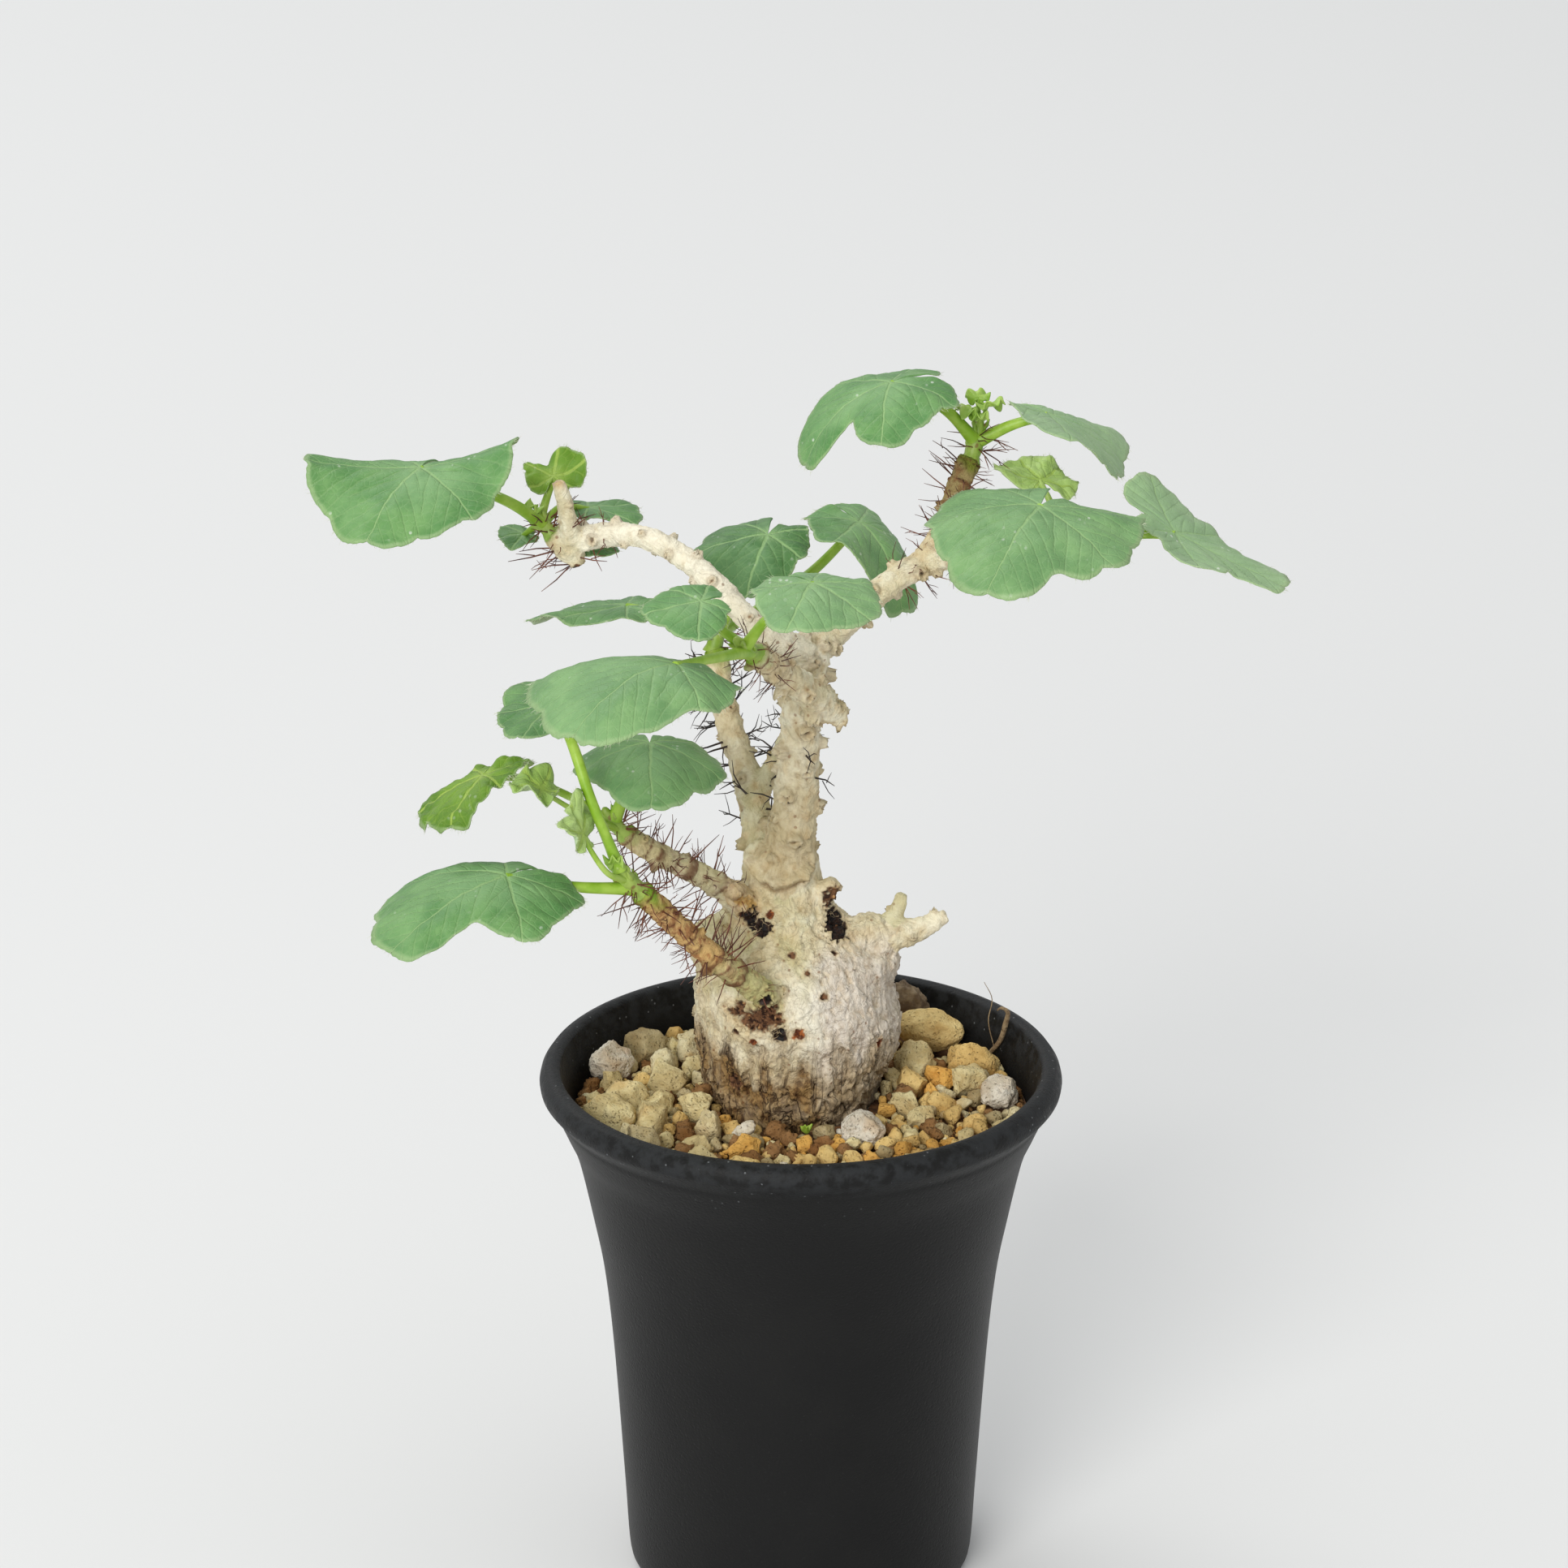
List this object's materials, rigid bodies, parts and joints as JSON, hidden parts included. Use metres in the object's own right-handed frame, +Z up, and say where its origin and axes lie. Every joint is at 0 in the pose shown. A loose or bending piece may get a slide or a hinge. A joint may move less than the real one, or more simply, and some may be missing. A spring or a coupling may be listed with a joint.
{
  "type": "potted caudex plant",
  "caption": "Jatropha with a swollen pale stem, bristly branches and lobed leaves, growing in gravel in a flared black plastic pot.",
  "frame": {"origin": "middle of the pot's flat underside, on the surface it stands on", "axes": "+Z up along the pot's axis, -Y the side seen in the picture, +X to the right of it"},
  "size_m": [0.1636, 0.1176, 0.2124],
  "materials": {
    "black_plastic": "matte black moulded plastic with fine grain and dusty rim",
    "gravel": "rough cream, tan and brown mineral gravel",
    "pumice": "rough porous white pumice",
    "tan_stone": "rough tan stone",
    "bark_chip": "rough brown bark",
    "pale_bark": "pale flaking bark with brown bristles",
    "bud_green": "soft green growing tip",
    "leaf_green": "soft grey-green leaf with pale veins",
    "young_leaf": "soft bright green young leaf"
  },
  "bodies": {
    "root": {"pot": "black_plastic", "gravel": "gravel", "stone_bark": "bark_chip", "stone_pumice_front": "pumice", "stone_pumice_left": "pumice", "stone_pumice_right": "pumice", "stone_tan": "tan_stone", "plant": "pale_bark", "bud_back": "bud_green", "bud_front": "bud_green", "bud_low_back": "bud_green", "bud_low_front": "bud_green", "bud_right": "bud_green", "bud_right_side": "bud_green", "bud_west": "bud_green", "leaf_back_left": "leaf_green", "leaf_back_low": "leaf_green", "leaf_back_right": "leaf_green", "leaf_front_big": "leaf_green", "leaf_front_right": "leaf_green", "leaf_front_small": "leaf_green", "leaf_left_center": "leaf_green", "leaf_left_mid": "leaf_green", "leaf_low_left": "leaf_green", "leaf_right_far": "leaf_green", "leaf_right_front": "leaf_green", "leaf_right_light": "young_leaf", "leaf_top_big": "leaf_green", "leaf_top_right": "leaf_green", "leaf_west_back": "leaf_green", "leaf_west_big": "leaf_green", "leaf_west_low": "leaf_green", "leaf_west_under": "leaf_green", "leaf_west_up": "young_leaf", "leaf_young_big": "young_leaf", "leaf_young_low": "young_leaf", "leaf_young_mid": "young_leaf"}
  },
  "joints": []
}
